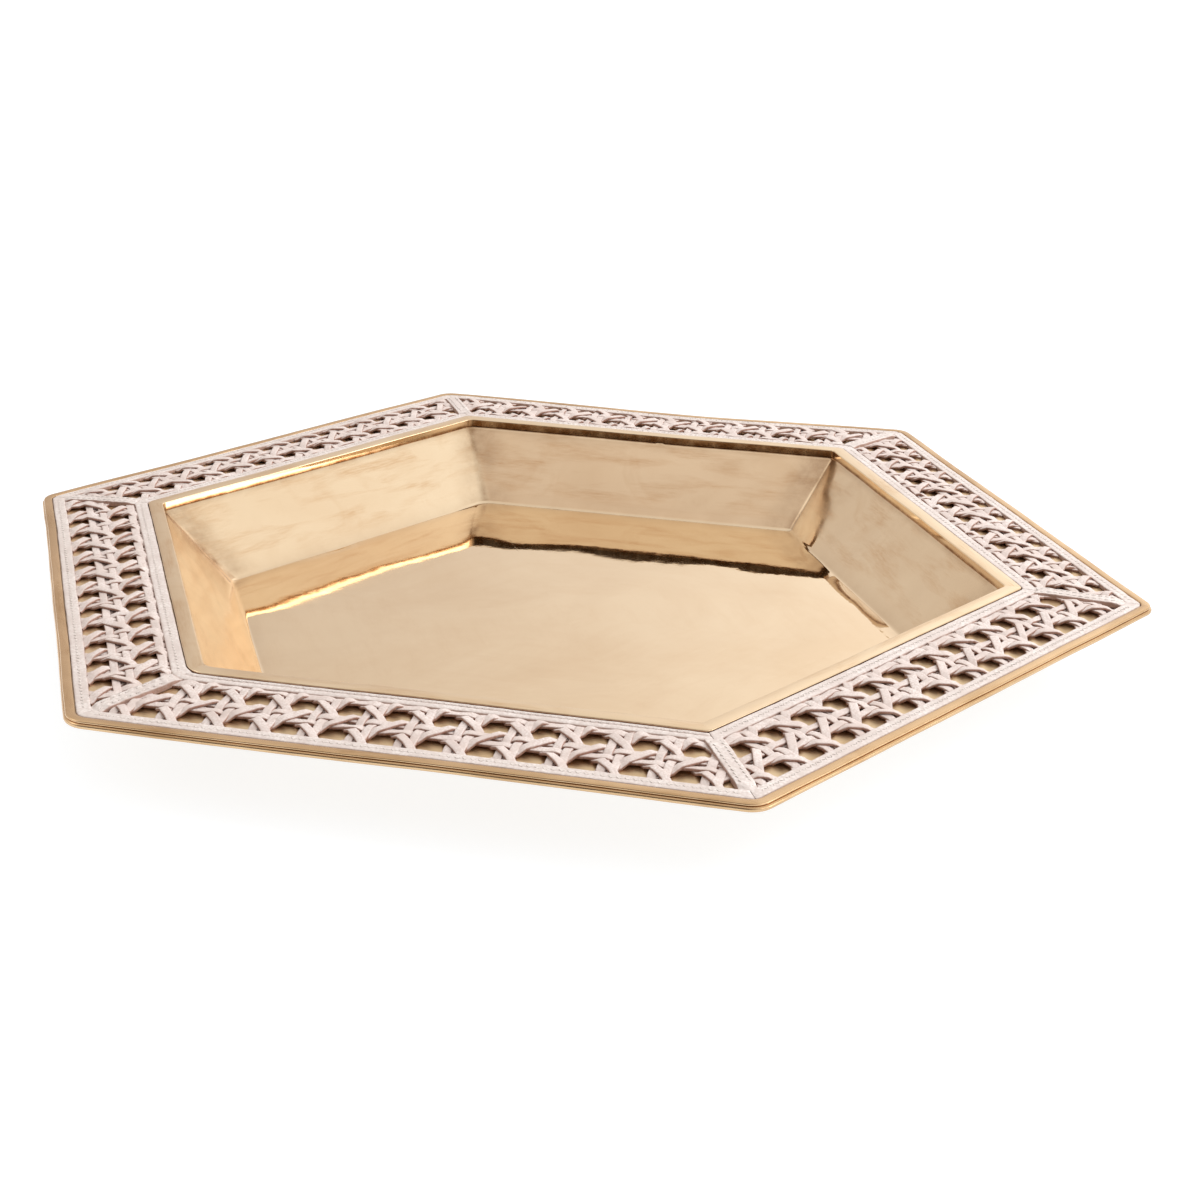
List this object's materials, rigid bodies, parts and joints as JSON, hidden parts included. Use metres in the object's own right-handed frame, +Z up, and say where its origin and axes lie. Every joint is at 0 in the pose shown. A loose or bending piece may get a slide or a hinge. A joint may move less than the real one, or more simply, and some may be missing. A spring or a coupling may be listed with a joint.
{
  "type": "serving tray",
  "caption": "Hexagonal brass tray with a deep flat-bottomed well, sloping walls and a wide rim inlaid with woven leather cane work between stitched leather bands.",
  "frame": {"origin": "centre of the underside, where the tray stands", "axes": "+Z up, +X towards the right corner, -Y towards the front side"},
  "size_m": [0.4776, 0.416, 0.0347],
  "materials": {
    "polished_brass": "polished sheet, hand worked and slightly uneven",
    "satin_brass": "brushed along the rim, softly worn",
    "band_leather": "pale whitewashed leather, matte, stitched near both edges",
    "lace_leather": "pale whitewashed leather laces, matte, with tan cut edges"
  },
  "bodies": {
    "root": {"well_pan": "polished_brass", "mouth_collar": "polished_brass", "rim_plate": "satin_brass", "rim_border": "satin_brass", "edge_bead": "satin_brass", "inner_band_front": "band_leather", "outer_band_front": "band_leather", "cane_panel_front": "lace_leather", "inner_band_front_right": "band_leather", "outer_band_front_right": "band_leather", "cane_panel_front_right": "lace_leather", "inner_band_back_right": "band_leather", "outer_band_back_right": "band_leather", "cane_panel_back_right": "lace_leather", "inner_band_back": "band_leather", "outer_band_back": "band_leather", "cane_panel_back": "lace_leather", "inner_band_back_left": "band_leather", "outer_band_back_left": "band_leather", "cane_panel_back_left": "lace_leather", "inner_band_front_left": "band_leather", "outer_band_front_left": "band_leather", "cane_panel_front_left": "lace_leather", "corner_strap_front_left": "band_leather", "corner_strap_front_right": "band_leather", "corner_strap_right": "band_leather", "corner_strap_back_right": "band_leather", "corner_strap_back_left": "band_leather", "corner_strap_left": "band_leather"}
  },
  "joints": []
}
